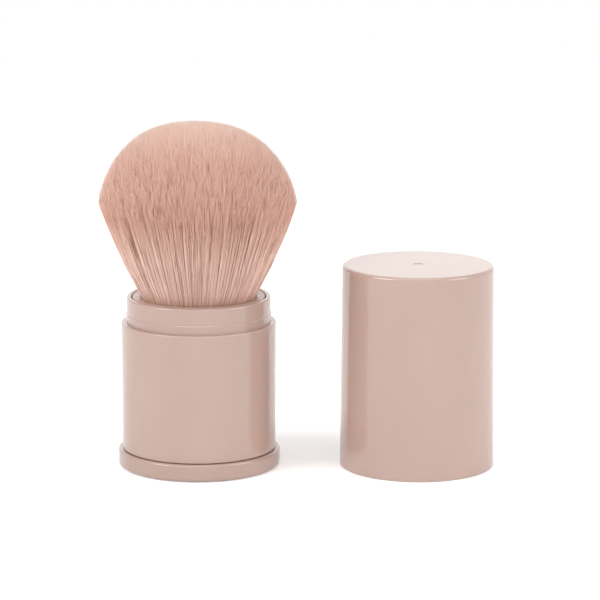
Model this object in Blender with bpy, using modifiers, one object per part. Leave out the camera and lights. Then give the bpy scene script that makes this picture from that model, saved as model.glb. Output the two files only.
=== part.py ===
"""Retractable makeup brush: a fanned bristle head on a handle, inside a sleeve that slides up
to gather the bristles, with the lift-off cap standing mouth down beside it.

Units are metres and +Z is up. The origin is the centre of the base's underside, on the axis
of the brush, and +X points to the cap. The sleeve is drawn in its low position.
"""
import math

import bmesh
import bpy
from mathutils import Matrix, Vector

# Clearances that several pieces share
RUNNING_GAP = 0.0003
FIT_GAP = 0.0003

# Base that the brush stands on, with the boss that snaps into the core tube
BASE_RADIUS = 0.0200
BASE_HEIGHT = 0.0043
BASE_TOP_ROUND = 0.0005
BASE_FOOT_ROUND = 0.0008
BASE_FLOOR = 0.0015
BASE_RIM_WALL = 0.0022
FOOT_RIM_WIDTH = 0.0026
FOOT_GROOVE_WIDTH = 0.0045
FOOT_GROOVE_DEPTH = 0.0003
BOSS_WALL = 0.0015
BOSS_HEIGHT = 0.0085

# Snap beads of the boss and of the holder, and how far each lies from its plug's end
SNAP_STANDOUT = 0.0006
SNAP_HEIGHT = 0.0016
SNAP_INSET = 0.0012
SNAP_RAMP = 0.0004

# Core tube of the handle, with the ribs that guide the sleeve
CORE_WALL = 0.0015
GUIDE_COUNT = 4
GUIDE_WIDTH = 0.0024
GUIDE_STANDOUT = 0.0007

# Sleeve: the outer casing, and the neck tube inside it that the cap fits on, with the room
# that the guide ribs have round the core tube
CASING_INSET = 0.0009
CASING_WALL = 0.00105
CASING_DRAFT = 0.00014
CASING_HEIGHT = 0.03135
CASING_ROUND = 0.0003
LEDGE_HEIGHT = 0.0012
NECK_WALL = 0.0012
NECK_STANDOUT = 0.0065
NECK_RIM_ROUND = 0.00045
BEAD_LIFT = 0.0006
BEAD_HEIGHT = 0.0018
BEAD_STANDOUT = 0.0002
BEAD_RAMP = 0.0004
LIP_HEIGHT = 0.0020
LIP_ROUND = 0.0002
GUIDE_ROOM = 0.00135

# Holder that carries the ferrule on top of the core tube, and its friction ring
HOLDER_RECESS = 0.00025
HOLDER_HEIGHT = 0.0085
HOLDER_WALL = 0.0016
HOLDER_FLOOR = 0.0023
HOLDER_RIM_ROUND = 0.0003
SPIGOT_LENGTH = 0.0060
SPIGOT_WALL = 0.0012
RING_GROOVE_LIFT = 0.0005
RING_GROOVE_HEIGHT = 0.0013
RING_GROOVE_DEPTH = 0.0010
RING_THICKNESS = 0.0009
RING_SEAT_GAP = 0.0001

# Ferrule cup, and the glue in it
FERRULE_WALL = 0.0004
FERRULE_RECESS = 0.0010
FERRULE_ROUND = 0.0009
ROOT_DEPTH = 0.0016
SLICE_HEIGHT = 0.0015

# Bristle head: a straight fan up to its widest level, and a rounded crown above that
HEAD_RADIUS = 0.0242
HEAD_WIDEST_RISE = 0.0222
HEAD_RISE = 0.0433
CROWN_HEIGHT_POWER = 2.2
CROWN_RADIUS_POWER = 1.9
STRAND_COUNT = 430
STRAND_SIDES = 3
STRAND_ROOT_RADIUS = 0.00036
STRAND_BELLY_RADIUS = 0.00052
STRAND_TIP_RADIUS = 0.00016
STRAND_BELLY_SHARE = 0.68
STRAND_SINK = 0.0007

# Cap, and how far from the brush it stands
CAP_STAND = 0.0540
CAP_HEIGHT = 0.0503
CAP_DRAFT = 0.00045
CAP_WALL = 0.0012
CAP_ROOF = 0.0012
CAP_TOP_ROUND = 0.0009
CAP_MOUTH_ROUND = 0.0002
CAP_CORNER_ROUND = 0.0012
GATE_RADIUS = 0.0013
GATE_DEPTH = 0.0003

# Facets of outer and inner round pieces, the overrun of cuts, and the distance that closes a
# turned seam
ROUND_STEPS = 48
INNER_STEPS = 32
RING_SECTION_STEPS = 8
ARC_STEPS = 2
CUT_OVERRUN = 0.0010
MERGE_DISTANCE = 0.00001

# Places worked out from the sizes above: each round piece is as wide as the one that it stands
# in allows, from the base's edge inwards
CASING_RADIUS = BASE_RADIUS - CASING_INSET
CASING_BORE = CASING_RADIUS - CASING_WALL
NECK_RADIUS = CASING_BORE - FIT_GAP
NECK_BORE = NECK_RADIUS - NECK_WALL
CORE_RADIUS = NECK_BORE - GUIDE_ROOM
CORE_BORE = CORE_RADIUS - CORE_WALL
PLUG_RADIUS = CORE_BORE - FIT_GAP
SNAP_GROOVE_RADIUS = PLUG_RADIUS + SNAP_STANDOUT + FIT_GAP
GUIDE_RADIUS = CORE_RADIUS + GUIDE_STANDOUT
CASING_BOTTOM = BASE_HEIGHT + RUNNING_GAP
CASING_TOP = CASING_BOTTOM + CASING_HEIGHT
NECK_BOTTOM = CASING_BOTTOM + LEDGE_HEIGHT + FIT_GAP
NECK_TOP = CASING_TOP + NECK_STANDOUT
LIP_BORE = CORE_RADIUS + RUNNING_GAP
LIP_TOP = NECK_BOTTOM + LIP_HEIGHT
KEYWAY_RADIUS = GUIDE_RADIUS + RUNNING_GAP
HOLDER_TOP = NECK_TOP - HOLDER_RECESS
HOLDER_BOTTOM = HOLDER_TOP - HOLDER_HEIGHT
HOLDER_RADIUS = NECK_BORE - RUNNING_GAP
HOLDER_BORE = HOLDER_RADIUS - HOLDER_WALL
CUP_FLOOR = HOLDER_BOTTOM + HOLDER_FLOOR
SPIGOT_BOTTOM = HOLDER_BOTTOM - SPIGOT_LENGTH
CORE_BOTTOM = BASE_FLOOR + FIT_GAP
CORE_TOP = HOLDER_BOTTOM - FIT_GAP
BOSS_TOP = BASE_FLOOR + BOSS_HEIGHT
RING_GROOVE_FLOOR = HOLDER_RADIUS - RING_GROOVE_DEPTH
RING_GROOVE_BOTTOM = HOLDER_BOTTOM + RING_GROOVE_LIFT
FERRULE_BOTTOM = CUP_FLOOR + FIT_GAP
FERRULE_TOP = HOLDER_TOP - FERRULE_RECESS
FERRULE_RADIUS = HOLDER_BORE - FIT_GAP
FERRULE_BORE = FERRULE_RADIUS - FERRULE_WALL
GLUE_RADIUS = FERRULE_BORE - FIT_GAP
ROOT_LEVEL = HOLDER_TOP - ROOT_DEPTH
SLICE_BOTTOM = ROOT_LEVEL - SLICE_HEIGHT
WIDEST_LEVEL = HOLDER_TOP + HEAD_WIDEST_RISE
HEAD_TOP = HOLDER_TOP + HEAD_RISE
ROOT_SPREAD = GLUE_RADIUS - 2 * STRAND_ROOT_RADIUS
CAP_MOUTH_RADIUS = CASING_RADIUS
CAP_TOP_RADIUS = CAP_MOUTH_RADIUS - CAP_DRAFT
CAP_BORE = CAP_MOUTH_RADIUS - CAP_WALL

# How far the sleeve slides up, until its lip meets the underside of the holder
SLEEVE_TRAVEL = HOLDER_BOTTOM - RUNNING_GAP - LIP_TOP

# Finishes: colour, roughness and metallic value
NUDE_PLASTIC = ("nude_plastic", (0.62, 0.44, 0.38, 1.0), 0.22, 0.0)
BLACK_RUBBER = ("black_rubber", (0.03, 0.03, 0.03, 1.0), 0.6, 0.0)
ALUMINIUM = ("aluminium", (0.80, 0.80, 0.80, 1.0), 0.3, 1.0)
AMBER_GLUE = ("amber_glue", (0.55, 0.40, 0.22, 1.0), 0.3, 0.0)
BRISTLE_FIBRE = ("bristle_fibre", (0.66, 0.44, 0.36, 1.0), 0.6, 0.0)

for old in list(bpy.data.objects):
    bpy.data.objects.remove(old)

parts = bpy.data.collections.new("retractable_makeup_brush")
cutters = bpy.data.collections.new("cutters")
bpy.context.scene.collection.children.link(parts)
bpy.context.scene.collection.children.link(cutters)


def make_material(piece, finish):
    """A material of the piece's own, with the finish's colour, roughness and metallic value."""
    kind, colour, roughness, metallic = finish
    material = bpy.data.materials.new(f"{piece}_{kind}")
    material.use_nodes = True
    shader = material.node_tree.nodes["Principled BSDF"]
    shader.inputs["Base Color"].default_value = colour
    shader.inputs["Roughness"].default_value = roughness
    shader.inputs["Metallic"].default_value = metallic
    return material


def make_group(name, x=0.0):
    """An empty on the upright axis that its pieces share."""
    group = bpy.data.objects.new(name, None)
    group.location = (x, 0.0, 0.0)
    parts.objects.link(group)
    return group


def add_part(name, mesh, finish, group):
    """A sub-part with its origin on its group's axis."""
    part = bpy.data.objects.new(name, mesh)
    part.parent = group
    mesh.materials.append(make_material(name, finish))
    parts.objects.link(part)
    return part


def add_tool(name, mesh):
    """The second shape of a Boolean: drawn as wire, and left out of renders."""
    tool = bpy.data.objects.new(name, mesh)
    tool.hide_render = True
    tool.display_type = "WIRE"
    cutters.objects.link(tool)
    return tool


def combine(part, tool, operation):
    """Join the tool onto the part, or cut it out."""
    boolean = part.modifiers.new(tool.name, "BOOLEAN")
    boolean.operation = operation
    boolean.solver = "EXACT"
    boolean.object = tool


def rounded(corners):
    """Outline through (radius, height, fillet) corners, each fillet drawn as a short arc."""
    outline = []
    for place, (radius, height, fillet) in enumerate(corners):
        corner = Vector((radius, height))
        if fillet == 0:
            outline.append(corner)
            continue
        before = (Vector(corners[place - 1][:2]) - corner).normalized()
        after = (Vector(corners[(place + 1) % len(corners)][:2]) - corner).normalized()
        half_angle = before.angle(after) / 2
        centre = corner + (before + after).normalized() * fillet / math.sin(half_angle)
        start = (corner + before * fillet / math.tan(half_angle) - centre).normalized()
        end = (corner + after * fillet / math.tan(half_angle) - centre).normalized()
        for step in range(ARC_STEPS + 1):
            outline.append(centre + start.slerp(end, step / ARC_STEPS) * fillet)
    return outline


def turned_mesh(name, corners):
    """The outline as loose edges, closed to a loop unless it starts and ends on the axis."""
    outline = rounded(corners)
    edges = [(place, place + 1) for place in range(len(outline) - 1)]
    if outline[0].x > 0:
        edges.append((len(outline) - 1, 0))
    mesh = bpy.data.meshes.new(name)
    mesh.from_pydata([(point.x, 0.0, point.y) for point in outline], edges, [])
    return mesh


def turned_part(name, corners, finish, group, steps=ROUND_STEPS):
    """A sub-part turned about its own Z axis. Its corners run down its outer side and up its
    inner side."""
    part = add_part(name, turned_mesh(name, corners), finish, group)
    screw = part.modifiers.new("turn", "SCREW")
    screw.axis = "Z"
    screw.steps = steps
    screw.render_steps = steps
    screw.use_merge_vertices = True
    screw.merge_threshold = MERGE_DISTANCE
    screw.use_smooth_shade = True
    return part


def keep_flats_flat(part):
    """Weight smooth shading by face area, once the part's shape is complete."""
    part.modifiers.new("weighted_normals", "WEIGHTED_NORMAL")


def spokes(name, inner, outer, width, bottom, top):
    """Upright blocks that point out from the axis, one on each guide's line."""
    bm = bmesh.new()
    block = Matrix.Diagonal((outer - inner, width, top - bottom, 1.0))
    place = Matrix.Translation(((inner + outer) / 2, 0.0, (bottom + top) / 2))
    for index in range(GUIDE_COUNT):
        heading = Matrix.Rotation(index * math.tau / GUIDE_COUNT, 4, "Z")
        bmesh.ops.create_cube(bm, size=1.0, matrix=heading @ place @ block)
    mesh = bpy.data.meshes.new(name)
    bm.to_mesh(mesh)
    bm.free()
    return add_tool(name, mesh)


def snap_bead(bottom):
    """Corners up the outer side of a plug, over the bead that snaps into the core tube."""
    crest = PLUG_RADIUS + SNAP_STANDOUT
    return [
        (PLUG_RADIUS, bottom, 0),
        (crest, bottom + SNAP_RAMP, 0),
        (crest, bottom + SNAP_HEIGHT - SNAP_RAMP, 0),
        (PLUG_RADIUS, bottom + SNAP_HEIGHT, 0),
    ]


def snap_groove(bead_bottom):
    """Corners up the bore of the core tube, round the groove that takes a plug's bead."""
    bottom = bead_bottom - FIT_GAP
    top = bead_bottom + SNAP_HEIGHT + FIT_GAP
    return [
        (CORE_BORE, bottom, 0),
        (SNAP_GROOVE_RADIUS, bottom + SNAP_RAMP, 0),
        (SNAP_GROOVE_RADIUS, top - SNAP_RAMP, 0),
        (CORE_BORE, top, 0),
    ]


def make_base_flange(group):
    """Foot disc with a flat ring on top for the sleeve to rest on, a pocket for the end of the
    core tube, and a hollow boss that snaps into the tube."""
    rim_bore = BASE_RADIUS - BASE_RIM_WALL
    boss_bore = PLUG_RADIUS - BOSS_WALL
    foot_outer = BASE_RADIUS - FOOT_RIM_WIDTH
    foot_inner = foot_outer - FOOT_GROOVE_WIDTH
    bead = snap_bead(BOSS_TOP - SNAP_INSET - SNAP_HEIGHT)
    corners = [
        (0.0, BASE_FLOOR, 0),
        (boss_bore, BASE_FLOOR, 0),
        (boss_bore, BOSS_TOP, 0),
        (PLUG_RADIUS, BOSS_TOP, 0),
        *reversed(bead),
        (PLUG_RADIUS, BASE_FLOOR, 0),
        (rim_bore, BASE_FLOOR, 0),
        (rim_bore, BASE_HEIGHT, 0),
        (BASE_RADIUS, BASE_HEIGHT, BASE_TOP_ROUND),
        (BASE_RADIUS, 0.0, BASE_FOOT_ROUND),
        (foot_outer, 0.0, 0),
        (foot_outer, FOOT_GROOVE_DEPTH, 0),
        (foot_inner, FOOT_GROOVE_DEPTH, 0),
        (foot_inner, 0.0, 0),
        (0.0, 0.0, 0),
    ]
    base = turned_part("base_flange", corners, NUDE_PLASTIC, group)
    keep_flats_flat(base)


def make_core_tube(group):
    """Handle tube with a snap groove near each end of its bore and guide ribs outside."""
    corners = [
        (CORE_RADIUS, CORE_TOP, 0),
        (CORE_RADIUS, CORE_BOTTOM, 0),
        (CORE_BORE, CORE_BOTTOM, 0),
        *snap_groove(BOSS_TOP - SNAP_INSET - SNAP_HEIGHT),
        *snap_groove(SPIGOT_BOTTOM + SNAP_INSET),
        (CORE_BORE, CORE_TOP, 0),
    ]
    tube = turned_part("core_tube", corners, NUDE_PLASTIC, group, INNER_STEPS)
    rib_root = CORE_RADIUS - CORE_WALL / 4
    ribs = spokes("guide_ribs", rib_root, GUIDE_RADIUS, GUIDE_WIDTH, CORE_BOTTOM, CORE_TOP)
    combine(tube, ribs, "UNION")
    keep_flats_flat(tube)


def make_head_holder(group):
    """Cup for the ferrule, with a groove for the friction ring and a spigot that snaps into
    the core tube. Its underside stops the sleeve at the top of its travel."""
    groove_top = RING_GROOVE_BOTTOM + RING_GROOVE_HEIGHT
    spigot_bore = PLUG_RADIUS - SPIGOT_WALL
    bead = snap_bead(SPIGOT_BOTTOM + SNAP_INSET)
    corners = [
        (HOLDER_RADIUS, HOLDER_TOP, HOLDER_RIM_ROUND),
        (HOLDER_RADIUS, groove_top, 0),
        (RING_GROOVE_FLOOR, groove_top, 0),
        (RING_GROOVE_FLOOR, RING_GROOVE_BOTTOM, 0),
        (HOLDER_RADIUS, RING_GROOVE_BOTTOM, 0),
        (HOLDER_RADIUS, HOLDER_BOTTOM, 0),
        (PLUG_RADIUS, HOLDER_BOTTOM, 0),
        *reversed(bead),
        (PLUG_RADIUS, SPIGOT_BOTTOM, 0),
        (spigot_bore, SPIGOT_BOTTOM, 0),
        (spigot_bore, CUP_FLOOR, 0),
        (HOLDER_BORE, CUP_FLOOR, 0),
        (HOLDER_BORE, HOLDER_TOP, HOLDER_RIM_ROUND),
    ]
    holder = turned_part("head_holder", corners, NUDE_PLASTIC, group)
    keep_flats_flat(holder)


def make_friction_ring(group):
    """Rubber ring in the holder's groove, whose drag on the neck tube keeps the sleeve where
    it is put."""
    inner = RING_GROOVE_FLOOR + RING_SEAT_GAP
    bpy.ops.mesh.primitive_torus_add(
        major_segments=INNER_STEPS,
        minor_segments=RING_SECTION_STEPS,
        major_radius=inner + RING_THICKNESS / 2,
        minor_radius=RING_THICKNESS / 2,
        location=(0.0, 0.0, RING_GROOVE_BOTTOM + RING_GROOVE_HEIGHT / 2),
    )
    ring = bpy.context.active_object
    for collection in list(ring.users_collection):
        collection.objects.unlink(ring)
    parts.objects.link(ring)
    ring.name = "friction_ring"
    ring.parent = group
    ring.data.materials.append(make_material(ring.name, BLACK_RUBBER))
    ring.data.shade_smooth()


def make_ferrule(group):
    """Thin drawn cup that the bristles are glued into."""
    floor_top = FERRULE_BOTTOM + FERRULE_WALL
    corners = [
        (0.0, floor_top, 0),
        (FERRULE_BORE, floor_top, FERRULE_ROUND - FERRULE_WALL),
        (FERRULE_BORE, FERRULE_TOP, 0),
        (FERRULE_RADIUS, FERRULE_TOP, 0),
        (FERRULE_RADIUS, FERRULE_BOTTOM, FERRULE_ROUND),
        (0.0, FERRULE_BOTTOM, 0),
    ]
    ferrule = turned_part("ferrule", corners, ALUMINIUM, group, INNER_STEPS)
    keep_flats_flat(ferrule)


def make_glue_plug(group):
    """Set glue in the bottom of the ferrule, under the slice that the bristles stand in."""
    bottom = FERRULE_BOTTOM + FERRULE_WALL + FIT_GAP
    top = SLICE_BOTTOM - FIT_GAP
    corners = [
        (0.0, top, 0),
        (GLUE_RADIUS, top, 0),
        (GLUE_RADIUS, bottom, FERRULE_ROUND - FERRULE_WALL),
        (0.0, bottom, 0),
    ]
    plug = turned_part("glue_plug", corners, AMBER_GLUE, group, INNER_STEPS)
    keep_flats_flat(plug)


def fan_radius(height):
    """Radius of the head's straight side at a height, for the centre of an outermost strand."""
    widest = HEAD_RADIUS - STRAND_TIP_RADIUS
    climb_share = (height - ROOT_LEVEL) / (WIDEST_LEVEL - ROOT_LEVEL)
    return ROOT_SPREAD + (widest - ROOT_SPREAD) * climb_share


def crown_radius(height):
    """Radius of the rounded crown at a height above the widest level."""
    widest = HEAD_RADIUS - STRAND_TIP_RADIUS
    climb_share = (height - WIDEST_LEVEL) / (HEAD_TOP - WIDEST_LEVEL)
    return widest * (1 - climb_share**CROWN_HEIGHT_POWER) ** (1 / CROWN_RADIUS_POWER)


def tip_height(fan_share):
    """Height at which a strand, a share of the way out in the fan, meets the crown."""
    low = WIDEST_LEVEL
    high = HEAD_TOP
    while high - low > MERGE_DISTANCE:
        middle = (low + high) / 2
        if fan_share * fan_radius(middle) < crown_radius(middle):
            low = middle
        else:
            high = middle
    return low


def strand_curve(section):
    """Every strand as a short curve that thickens to its belly and tapers to its tip. They are
    spaced like the seeds of a sunflower and fan out in proportion, so none cross."""
    golden_angle = math.pi * (3 - math.sqrt(5))
    curve = bpy.data.curves.new("strands", "CURVE")
    curve.dimensions = "3D"
    curve.bevel_mode = "OBJECT"
    curve.bevel_object = section
    curve.use_fill_caps = True
    for index in range(STRAND_COUNT):
        fan_share = math.sqrt((index + 0.5) / STRAND_COUNT)
        angle = index * golden_angle
        foot = ROOT_LEVEL - STRAND_SINK
        tip = tip_height(fan_share)
        belly = foot + (tip - foot) * STRAND_BELLY_SHARE
        spline = curve.splines.new("POLY")
        spline.points.add(2)
        stations = zip(
            spline.points,
            (foot, belly, tip),
            (STRAND_ROOT_RADIUS, STRAND_BELLY_RADIUS, STRAND_TIP_RADIUS),
        )
        for point, height, thickness in stations:
            reach = fan_share * fan_radius(height)
            point.co = (reach * math.cos(angle), reach * math.sin(angle), height, 1.0)
            point.radius = thickness
    return curve


def strand_section():
    """Closed outline of unit radius, which each strand's thickness scales."""
    outline = bpy.data.curves.new("strand_section", "CURVE")
    outline.dimensions = "2D"
    spline = outline.splines.new("POLY")
    spline.points.add(STRAND_SIDES - 1)
    spline.use_cyclic_u = True
    for index, point in enumerate(spline.points):
        angle = index * math.tau / STRAND_SIDES
        point.co = (math.cos(angle), math.sin(angle), 0.0, 1.0)
    return add_tool("strand_section", outline)


def slice_mesh():
    """Disc of glue that the strands stand in."""
    mesh = bpy.data.meshes.new("bristle_head")
    bm = bmesh.new()
    bmesh.ops.create_cone(
        bm,
        cap_ends=True,
        segments=INNER_STEPS,
        radius1=GLUE_RADIUS,
        radius2=GLUE_RADIUS,
        depth=SLICE_HEIGHT,
        matrix=Matrix.Translation((0.0, 0.0, ROOT_LEVEL - SLICE_HEIGHT / 2)),
    )
    bm.to_mesh(mesh)
    bm.free()
    return mesh


def make_bristle_head(group):
    """Strands that stand in the top slice of the glue, joined to it."""
    guide = add_tool("strand_guide", strand_curve(strand_section()))
    bpy.context.view_layer.update()
    evaluated = guide.evaluated_get(bpy.context.evaluated_depsgraph_get())
    strands = bpy.data.meshes.new_from_object(evaluated)
    bpy.data.objects.remove(guide)
    bm = bmesh.new()
    bm.from_mesh(strands)
    bmesh.ops.remove_doubles(bm, verts=bm.verts, dist=MERGE_DISTANCE)
    bmesh.ops.recalc_face_normals(bm, faces=bm.faces)
    bm.to_mesh(strands)
    bm.free()
    head = add_part("bristle_head", slice_mesh(), BRISTLE_FIBRE, group)
    combine(head, add_tool("strands", strands), "UNION")


def make_casing_sleeve(group):
    """Outer tube of the sleeve, a little narrower at its foot, where a ledge carries the neck
    tube."""
    foot_radius = CASING_RADIUS - CASING_DRAFT
    corners = [
        (CASING_RADIUS, CASING_TOP, CASING_ROUND),
        (foot_radius, CASING_BOTTOM, CASING_ROUND),
        (KEYWAY_RADIUS, CASING_BOTTOM, CASING_ROUND),
        (KEYWAY_RADIUS, CASING_BOTTOM + LEDGE_HEIGHT, 0),
        (CASING_BORE, CASING_BOTTOM + LEDGE_HEIGHT, 0),
        (CASING_BORE, CASING_TOP, 0),
    ]
    casing = turned_part("casing_sleeve", corners, NUDE_PLASTIC, group)
    keep_flats_flat(casing)


def make_neck_tube(group):
    """Inner tube of the sleeve. A low bead at the foot of its bare neck grips the cap, and its
    bottom lip runs on the core tube, with a keyway for each guide rib."""
    bead_bottom = CASING_TOP + BEAD_LIFT
    bead_top = bead_bottom + BEAD_HEIGHT
    corners = [
        (NECK_RADIUS, NECK_TOP, NECK_RIM_ROUND),
        (NECK_RADIUS, bead_top, 0),
        (NECK_RADIUS + BEAD_STANDOUT, bead_top - BEAD_RAMP, 0),
        (NECK_RADIUS + BEAD_STANDOUT, bead_bottom + BEAD_RAMP, 0),
        (NECK_RADIUS, bead_bottom, 0),
        (NECK_RADIUS, NECK_BOTTOM, 0),
        (LIP_BORE, NECK_BOTTOM, LIP_ROUND),
        (LIP_BORE, LIP_TOP, LIP_ROUND),
        (NECK_BORE, LIP_TOP, 0),
        (NECK_BORE, NECK_TOP, NECK_RIM_ROUND),
    ]
    neck = turned_part("neck_tube", corners, NUDE_PLASTIC, group)
    keyways = spokes(
        "keyways",
        LIP_BORE - CUT_OVERRUN,
        KEYWAY_RADIUS,
        GUIDE_WIDTH + 2 * RUNNING_GAP,
        NECK_BOTTOM - CUT_OVERRUN,
        LIP_TOP + CUT_OVERRUN,
    )
    combine(neck, keyways, "DIFFERENCE")
    keep_flats_flat(neck)


def make_cap(group):
    """One-piece cap with drafted sides. Its top has the dimple of the moulding gate, and a
    shallow groove inside its mouth takes the neck tube's bead."""
    roof = CAP_HEIGHT - CAP_ROOF
    groove_bottom = BEAD_LIFT - FIT_GAP
    groove_top = BEAD_LIFT + BEAD_HEIGHT + FIT_GAP
    corners = [
        (0.0, CAP_HEIGHT - GATE_DEPTH, 0),
        (GATE_RADIUS - GATE_DEPTH, CAP_HEIGHT - GATE_DEPTH, 0),
        (GATE_RADIUS, CAP_HEIGHT, 0),
        (CAP_TOP_RADIUS, CAP_HEIGHT, CAP_TOP_ROUND),
        (CAP_MOUTH_RADIUS, 0.0, CAP_MOUTH_ROUND),
        (CAP_BORE, 0.0, 0),
        (CAP_BORE, groove_bottom, 0),
        (CAP_BORE + BEAD_STANDOUT, groove_bottom + BEAD_RAMP, 0),
        (CAP_BORE + BEAD_STANDOUT, groove_top - BEAD_RAMP, 0),
        (CAP_BORE, groove_top, 0),
        (CAP_TOP_RADIUS - CAP_WALL, roof, CAP_CORNER_ROUND),
        (0.0, roof, 0),
    ]
    cap = turned_part("cap", corners, NUDE_PLASTIC, group)
    keep_flats_flat(cap)


handle = make_group("handle")
make_base_flange(handle)
make_core_tube(handle)
make_head_holder(handle)
make_friction_ring(handle)
make_ferrule(handle)
make_glue_plug(handle)
make_bristle_head(handle)

sleeve = make_group("sleeve")
make_casing_sleeve(sleeve)
make_neck_tube(sleeve)

stand = make_group("cap_stand", CAP_STAND)
make_cap(stand)

print(f"The sleeve slides up {SLEEVE_TRAVEL:.5f} m, and the head is {HEAD_TOP:.5f} m high")
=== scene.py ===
import math

import bmesh
import bpy
import numpy as np
from mathutils import Matrix, Vector
from mathutils.kdtree import KDTree


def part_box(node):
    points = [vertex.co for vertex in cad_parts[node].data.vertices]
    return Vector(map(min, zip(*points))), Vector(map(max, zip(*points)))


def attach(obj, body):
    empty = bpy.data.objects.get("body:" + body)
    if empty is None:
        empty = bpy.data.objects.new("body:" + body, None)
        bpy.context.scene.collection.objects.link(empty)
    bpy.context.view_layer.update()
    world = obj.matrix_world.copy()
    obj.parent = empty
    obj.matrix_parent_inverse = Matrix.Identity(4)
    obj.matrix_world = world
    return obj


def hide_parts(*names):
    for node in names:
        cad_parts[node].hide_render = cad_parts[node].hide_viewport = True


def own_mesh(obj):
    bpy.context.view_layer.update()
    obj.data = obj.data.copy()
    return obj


# Retractable makeup brush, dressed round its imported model: the brush stands open with its
# bristles fanned out, and its cap stands mouth down beside it. Lengths are in metres.
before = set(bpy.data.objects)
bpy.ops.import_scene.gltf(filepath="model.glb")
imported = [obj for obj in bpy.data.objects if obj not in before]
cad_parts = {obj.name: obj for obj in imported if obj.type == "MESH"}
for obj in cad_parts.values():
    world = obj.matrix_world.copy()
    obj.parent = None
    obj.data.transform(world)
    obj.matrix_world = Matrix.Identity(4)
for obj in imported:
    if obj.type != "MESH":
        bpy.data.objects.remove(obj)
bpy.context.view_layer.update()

# Camera with a long lens, a little above the brush and between it and its cap. Its place and
# its lens come from fitting the edges of the base, the casing, the neck and the cap.
FOCAL_PIXELS = 3031.3
FRAME_PIXELS = 600
SENSOR_WIDTH_MM = 36.0
CAMERA_PLACE = (0.02496, -0.73186, 0.19015)
CAMERA_PITCH = 0.2007
CAMERA_ROLL = 0.0018

camera_data = bpy.data.cameras.new("studio_camera")
camera_data.sensor_width = SENSOR_WIDTH_MM
camera_data.lens = FOCAL_PIXELS / FRAME_PIXELS * SENSOR_WIDTH_MM
camera = bpy.data.objects.new("studio_camera", camera_data)
look_down = Matrix.Rotation(math.pi / 2 - CAMERA_PITCH, 4, "X")
camera.matrix_world = (
    Matrix.Translation(CAMERA_PLACE) @ look_down @ Matrix.Rotation(CAMERA_ROLL, 4, "Z")
)
bpy.context.scene.collection.objects.link(camera)
bpy.context.scene.camera = camera
bpy.context.scene.view_settings.view_transform = "Standard"

# White studio: a wide pale floor that keeps a soft shadow, a white room, and five soft
# lamps. The key lamp is above and to the left, and the wide low ones give the gloss.
FLOOR_SIZE = 1.6
FLOOR_DROP = 0.0001
FLOOR_COLOUR = (0.90, 0.90, 0.90, 1.0)
FLOOR_GLOW = 0.30
WHITE = (1.0, 1.0, 1.0, 1.0)
SEEN_LIGHT = 1.0
ROOM_LIGHT = 0.645
LAMPS = (
    ("left_lamp", (-0.75, -0.45, 0.65), (0.50, 0.50), 4.6),
    ("right_lamp", (0.80, -0.35, 0.45), (0.50, 0.50), 3.0),
    ("top_lamp", (0.00, -0.30, 1.10), (1.00, 0.20), 2.5),
    ("back_lamp", (0.02, 1.40, 0.45), (1.60, 0.80), 1.9),
    ("front_lamp", (-0.10, -1.30, 0.16), (1.40, 0.25), 2.2),
)
LAMP_AIM = Vector((0.02, 0.0, 0.04))


def add_node(tree, kind, inputs=None, **settings):
    """A node with its settings, and a value or a source for each named input."""
    made = tree.nodes.new(kind)
    for name, value in settings.items():
        setattr(made, name, value)
    for name, value in (inputs or {}).items():
        if isinstance(value, bpy.types.NodeSocket):
            tree.links.new(value, made.inputs[name])
        else:
            made.inputs[name].default_value = value
    return made


def rays_that_see(tree):
    """1 for rays that show the background as such: the camera's, and those off or through
    a shiny surface."""
    path = add_node(tree, "ShaderNodeLightPath")
    seen = path.outputs["Is Camera Ray"]
    for name in ("Is Glossy Ray", "Is Transmission Ray"):
        larger = add_node(
            tree, "ShaderNodeMath", {0: seen, 1: path.outputs[name]}, operation="MAXIMUM"
        )
        seen = larger.outputs[0]
    return seen


def light_or_sight(tree, for_light, for_sight):
    """One look for the rays that light the brush, and one for those that show the
    background."""
    either = add_node(
        tree,
        "ShaderNodeMixShader",
        {0: rays_that_see(tree), 1: for_light.outputs[0], 2: for_sight.outputs[0]},
    )
    return either.outputs[0]


room = bpy.data.worlds.new("white_room")
room.use_nodes = True
tree = room.node_tree
tree.nodes.clear()
dim = add_node(tree, "ShaderNodeBackground", {"Color": WHITE, "Strength": ROOM_LIGHT})
bright = add_node(tree, "ShaderNodeBackground", {"Color": WHITE, "Strength": SEEN_LIGHT})
add_node(tree, "ShaderNodeOutputWorld", {"Surface": light_or_sight(tree, dim, bright)})
bpy.context.scene.world = room

bpy.ops.mesh.primitive_plane_add(size=FLOOR_SIZE, location=(0.0, 0.0, -FLOOR_DROP))
floor = bpy.context.active_object
floor.name = "studio_floor"
paper = bpy.data.materials.new("white_paper")
paper.use_nodes = True
tree = paper.node_tree
tree.nodes.clear()
matt = add_node(tree, "ShaderNodeBsdfDiffuse", {"Color": FLOOR_COLOUR})
glow = add_node(tree, "ShaderNodeEmission", {"Color": WHITE, "Strength": FLOOR_GLOW})
lit = add_node(tree, "ShaderNodeAddShader", {0: matt.outputs[0], 1: glow.outputs[0]})
add_node(tree, "ShaderNodeOutputMaterial", {"Surface": light_or_sight(tree, matt, lit)})
floor.data.materials.append(paper)

for name, place, size, power in LAMPS:
    lamp_data = bpy.data.lights.new(name, "AREA")
    lamp_data.shape = "RECTANGLE"
    lamp_data.size, lamp_data.size_y = size
    lamp_data.energy = power
    lamp = bpy.data.objects.new(name, lamp_data)
    lamp.location = place
    lamp.rotation_euler = (LAMP_AIM - Vector(place)).to_track_quat("-Z", "Y").to_euler()
    lamp.visible_camera = False
    bpy.context.scene.collection.objects.link(lamp)

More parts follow.
